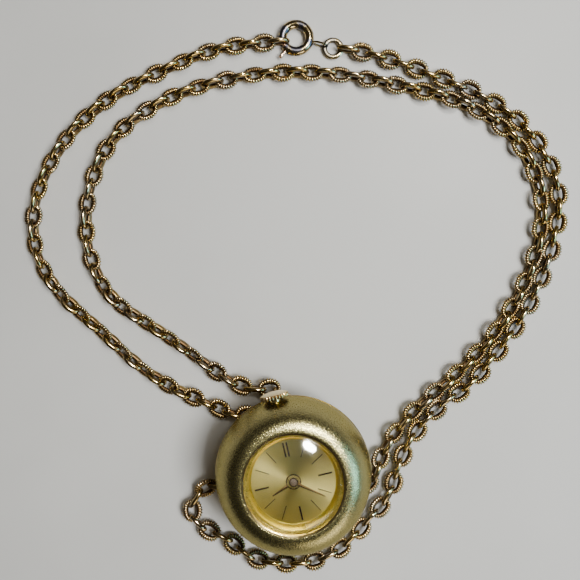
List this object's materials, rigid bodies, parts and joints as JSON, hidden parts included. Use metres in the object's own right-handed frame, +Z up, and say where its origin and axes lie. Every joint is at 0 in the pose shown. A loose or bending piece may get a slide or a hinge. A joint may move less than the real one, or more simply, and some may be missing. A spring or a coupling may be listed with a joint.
{
  "type": "pendant watch",
  "caption": "Ball-shaped hand-wound pendant watch with a domed crystal, lying on its back with its cable chain and spring-ring clasp laid out round it.",
  "frame": {"origin": "middle of the flat back of the case, on the surface that the watch lies on", "axes": "+Z up out of the dial, +Y towards twelve o'clock and the crown, +X towards three o'clock"},
  "size_m": [0.1044, 0.1038, 0.0179],
  "materials": {
    "case_gilt": "fine sandblasted, champagne-gold plated",
    "crown_gilt": "polished, gold plated",
    "crystal_glass": "clear domed acrylic, polished",
    "ring_polish": "mirror polished, gold plated",
    "dial_gold": "sunray brushed, lacquered",
    "marker_dark": "dark oxidised, satin",
    "hand_dark": "dark oxidised, satin",
    "chain_gilt": "worn gold plating, polished",
    "chain_ribbed": "worn gold plating, coin-edge ribs",
    "clasp_polish": "polished, gold plated",
    "spring_steel": "blued, fine",
    "work_steel": "fine brushed",
    "wheel_brass": "satin, gilt",
    "plate_nickel": "nickel plated, fine matt",
    "ruby": "polished synthetic ruby"
  },
  "bodies": {
    "case": {"back_shell": "case_gilt", "bail_ring": "chain_gilt", "balance_cock": "plate_nickel", "barrel_bridge": "plate_nickel", "bow": "chain_gilt", "bridge_screws": "work_steel", "case_screws": "work_steel", "clasp_bail": "clasp_polish", "clasp_spring": "spring_steel", "clasp_tube": "clasp_polish", "click_spring": "spring_steel", "crown_tube": "crown_gilt", "crystal": "crystal_glass", "dial": "dial_gold", "dial_ring": "ring_polish", "end_ring": "clasp_polish", "fold_link": "chain_gilt", "front_shell": "case_gilt", "hairspring": "spring_steel", "hour_markers": "marker_dark", "jewels": "ruby", "long_strand_plain_links": "chain_gilt", "long_strand_ribbed_links": "chain_ribbed", "main_plate": "plate_nickel", "movement_ring": "wheel_brass", "short_strand_plain_links": "chain_gilt", "short_strand_ribbed_links": "chain_ribbed", "train_bridge": "plate_nickel"},
    "minute": {"minute_hand": "hand_dark", "cannon_pinion": "work_steel"},
    "minute_wheel": {"minute_wheel": "wheel_brass"},
    "hour": {"hour_hand": "hand_dark", "hour_wheel": "wheel_brass"},
    "setting_wheel": {"setting_wheel": "work_steel"},
    "centre_wheel": {"centre_wheel": "wheel_brass"},
    "third_wheel": {"third_wheel": "wheel_brass"},
    "fourth_wheel": {"fourth_wheel": "wheel_brass"},
    "escape_wheel": {"escape_wheel": "wheel_brass"},
    "barrel": {"barrel": "wheel_brass", "mainspring": "spring_steel"},
    "balance": {"balance_wheel": "wheel_brass"},
    "pallet": {"pallet_fork": "work_steel"},
    "winding_pinion": {"winding_pinion": "work_steel"},
    "crown": {"crown": "crown_gilt", "winding_stem": "work_steel"},
    "clutch": {"clutch": "work_steel"},
    "crown_wheel": {"crown_wheel": "work_steel"},
    "ratchet": {"ratchet_wheel": "work_steel", "barrel_arbor": "work_steel"},
    "setting_lever": {"setting_lever": "work_steel"},
    "yoke": {"yoke": "work_steel"},
    "click": {"click": "work_steel"},
    "clasp_bolt": {"clasp_bolt": "clasp_polish"}
  },
  "joints": [
    {"name": "hands_set", "type": "hinge", "parent": "case", "child": "minute", "pos_m": [0, 0, 0.0137], "axis": [0, 0, -1], "continuous": true},
    {"name": "minute_wheel_turn", "type": "hinge", "parent": "case", "child": "minute_wheel", "pos_m": [0, 0.00205, 0.01295], "axis": [0, 0, -1], "continuous": true},
    {"name": "hour_turn", "type": "hinge", "parent": "case", "child": "hour", "pos_m": [0, 0, 0.0137], "axis": [0, 0, -1], "continuous": true},
    {"name": "setting_wheel_turn", "type": "hinge", "parent": "case", "child": "setting_wheel", "pos_m": [0, 0.00415, 0.01295], "axis": [0, 0, -1], "continuous": true},
    {"name": "train_run", "type": "hinge", "parent": "case", "child": "fourth_wheel", "pos_m": [0.00337, -0.00117, 0.0112], "axis": [0, 0, -1], "continuous": true},
    {"name": "third_turn", "type": "hinge", "parent": "case", "child": "third_wheel", "pos_m": [0.0028, 0.0013, 0.011], "axis": [0, 0, -1], "continuous": true},
    {"name": "centre_turn", "type": "hinge", "parent": "case", "child": "centre_wheel", "pos_m": [0, 0, 0.0119], "axis": [0, 0, -1], "continuous": true},
    {"name": "escape_turn", "type": "hinge", "parent": "case", "child": "escape_wheel", "pos_m": [0.00227, -0.00301, 0.0106], "axis": [0, 0, -1], "continuous": true},
    {"name": "barrel_turn", "type": "hinge", "parent": "case", "child": "barrel", "pos_m": [-0.00367, 0.00148, 0.0109], "axis": [0, 0, -1], "continuous": true},
    {"name": "balance_swing", "type": "hinge", "parent": "case", "child": "balance", "pos_m": [-0.0022, -0.00425, 0.011], "axis": [0, 0, -1], "range_deg": [-270, 270], "stiffness_Nm_per_rad": 0.000001},
    {"name": "pallet_rock", "type": "hinge", "parent": "case", "child": "pallet", "pos_m": [0.00075, -0.00435, 0.0106], "axis": [0, 0, -1], "range_deg": [-5, 5]},
    {"name": "crown_turn", "type": "hinge", "parent": "case", "child": "winding_pinion", "pos_m": [0, 0, 0.0104], "axis": [0, 1, 0], "continuous": true},
    {"name": "crown_wheel_turn", "type": "hinge", "parent": "case", "child": "crown_wheel", "pos_m": [-0.00152, 0.00527, 0.009], "axis": [0, 0, 1], "continuous": true},
    {"name": "ratchet_turn", "type": "hinge", "parent": "case", "child": "ratchet", "pos_m": [-0.00367, 0.00148, 0.009], "axis": [0, 0, 1], "continuous": true},
    {"name": "crown_pull", "type": "slide", "parent": "winding_pinion", "child": "crown", "axis": [0, 1, 0], "range_m": [0, 0.0008]},
    {"name": "clutch_slide", "type": "slide", "parent": "winding_pinion", "child": "clutch", "axis": [0, -1, 0], "range_m": [0, 0.0006]},
    {"name": "setting_lever_turn", "type": "hinge", "parent": "case", "child": "setting_lever", "pos_m": [0.0019, 0.007, 0.011], "axis": [0, 0, -1], "range_deg": [0, 24]},
    {"name": "yoke_turn", "type": "hinge", "parent": "case", "child": "yoke", "pos_m": [0.0028, 0.0044, 0.0104], "axis": [0, 0, 1], "range_deg": [0, 16.5]},
    {"name": "click_lift", "type": "hinge", "parent": "case", "child": "click", "pos_m": [-0.0056, -0.0016, 0.009], "axis": [0, 0, 1], "range_deg": [0, 12], "stiffness_Nm_per_rad": 0.000001},
    {"name": "clasp_open", "type": "hinge", "parent": "case", "child": "clasp_bolt", "pos_m": [0.01956, 0.07987, 0.0013], "axis": [0, 0, 1], "range_deg": [0, 42], "stiffness_Nm_per_rad": 0.0001}
  ],
  "couplings": [
    {"joint": "minute_wheel_turn", "follows": "hands_set", "ratio": -0.33333},
    {"joint": "hour_turn", "follows": "hands_set", "ratio": 0.083333},
    {"joint": "setting_wheel_turn", "follows": "hands_set", "ratio": 0.90909},
    {"joint": "third_turn", "follows": "train_run", "ratio": -0.13333},
    {"joint": "centre_turn", "follows": "train_run", "ratio": 0.016667},
    {"joint": "escape_turn", "follows": "train_run", "ratio": -10},
    {"joint": "barrel_turn", "follows": "train_run", "ratio": -0.0027778},
    {"joint": "crown_wheel_turn", "follows": "crown_turn", "ratio": 0.625},
    {"joint": "ratchet_turn", "follows": "crown_turn", "ratio": -0.5},
    {"joint": "clutch_slide", "follows": "crown_pull", "ratio": 0.75},
    {"joint": "setting_lever_turn", "follows": "crown_pull", "rad_per_m": 520},
    {"joint": "yoke_turn", "follows": "crown_pull", "rad_per_m": 350}
  ]
}
